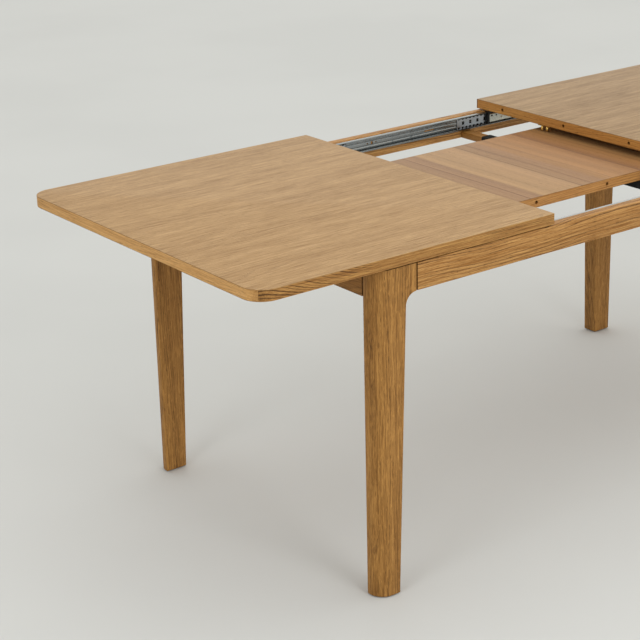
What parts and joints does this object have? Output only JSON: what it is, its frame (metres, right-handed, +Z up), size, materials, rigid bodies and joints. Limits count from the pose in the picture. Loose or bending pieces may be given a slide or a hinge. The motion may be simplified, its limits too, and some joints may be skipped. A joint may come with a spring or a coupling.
{
  "type": "extendable dining table",
  "caption": "Oak dining table whose two top halves slide apart on ball bearing slides, with a loose leaf stored on cross rails in the frame below.",
  "frame": {"origin": "on the floor under the middle of the table", "axes": "+Z up, +X along the table to the right, +Y to the back; the front is -Y"},
  "size_m": [2.085, 0.87, 0.75],
  "materials": {
    "oak_top": "matt lacquered oak veneer, pale, with solid oak edges",
    "oak_frame": "matt oiled solid oak, warm brown",
    "oak_leaf": "matt plank matched oak veneer, pinkish brown",
    "beech": "raw beech",
    "zinc_steel": "zinc plated pressed sheet",
    "zinc_runner": "galvanised pressed sheet",
    "brass": "polished",
    "black_plastic": "moulded, satin",
    "black_pad": "soft matt black sleeve",
    "grey_felt": "pressed felt"
  },
  "bodies": {
    "frame": {"apron_back": "oak_frame", "apron_front": "oak_frame", "corner_block_left_back": "beech", "corner_block_left_front": "beech", "corner_block_right_back": "beech", "corner_block_right_front": "beech", "corner_bolt_left_back": "zinc_steel", "corner_bolt_left_front": "zinc_steel", "corner_bolt_right_back": "zinc_steel", "corner_bolt_right_front": "zinc_steel", "cross_rail_left": "oak_frame", "cross_rail_right": "oak_frame", "end_apron_left": "oak_frame", "end_apron_right": "oak_frame", "glide_left_back": "grey_felt", "glide_left_front": "grey_felt", "glide_right_back": "grey_felt", "glide_right_front": "grey_felt", "leaf_pad_left": "black_pad", "leaf_pad_right": "black_pad", "leg_left_back": "oak_frame", "leg_left_front": "oak_frame", "leg_right_back": "oak_frame", "leg_right_front": "oak_frame", "slide_outer_back": "zinc_steel", "slide_outer_front": "zinc_steel"},
    "top_left": {"batten_left_back": "oak_frame", "batten_left_front": "oak_frame", "bumper_left_back": "black_plastic", "bumper_left_front": "black_plastic", "lock_base_back": "brass", "lock_base_front": "brass", "slide_runner_left_back": "zinc_runner", "slide_runner_left_front": "zinc_runner", "top_dowel_1": "beech", "top_dowel_2": "beech", "top_dowel_3": "beech", "top_dowel_4": "beech", "top_left": "oak_top"},
    "top_right": {"batten_right_back": "oak_frame", "batten_right_front": "oak_frame", "bumper_right_back": "black_plastic", "bumper_right_front": "black_plastic", "lock_keeper_back": "brass", "lock_keeper_front": "brass", "slide_runner_right_back": "zinc_runner", "slide_runner_right_front": "zinc_runner", "top_right": "oak_top"},
    "cages_left": {"ball_cage_left_back": "zinc_steel", "ball_cage_left_front": "zinc_steel"},
    "cages_right": {"ball_cage_right_back": "zinc_steel", "ball_cage_right_front": "zinc_steel"},
    "leaf": {"leaf": "oak_leaf", "leaf_dowel_1": "beech", "leaf_dowel_2": "beech", "leaf_dowel_3": "beech", "leaf_dowel_4": "beech"},
    "lever_back": {"lock_lever_back": "brass"},
    "lever_front": {"lock_lever_front": "brass"}
  },
  "joints": [
    {"name": "top_left_slide", "type": "slide", "parent": "frame", "child": "top_left", "axis": [1, 0, 0], "range_m": [-0.01, 0.2797]},
    {"name": "top_right_slide", "type": "slide", "parent": "frame", "child": "top_right", "axis": [-1, 0, 0], "range_m": [-0.01, 0.2797]},
    {"name": "cages_left_slide", "type": "slide", "parent": "frame", "child": "cages_left", "axis": [1, 0, 0], "range_m": [-0.0055, 0.1402]},
    {"name": "cages_right_slide", "type": "slide", "parent": "frame", "child": "cages_right", "axis": [-1, 0, 0], "range_m": [-0.0055, 0.1402]},
    {"name": "leaf_slide", "type": "slide", "parent": "frame", "child": "leaf", "axis": [1, 0, 0], "range_m": [-0.16, 0.2]},
    {"name": "lever_back_turn", "type": "hinge", "parent": "top_left", "child": "lever_back", "pos_m": [-0.315, 0.1752, 0.715], "axis": [0, 0, 1], "range_deg": [0, 90]},
    {"name": "lever_front_turn", "type": "hinge", "parent": "top_left", "child": "lever_front", "pos_m": [-0.315, -0.1752, 0.715], "axis": [0, 0, -1], "range_deg": [0, 90]}
  ],
  "couplings": [
    {"joint": "cages_left_slide", "follows": "top_left_slide", "ratio": 0.5},
    {"joint": "cages_right_slide", "follows": "top_right_slide", "ratio": 0.5}
  ]
}
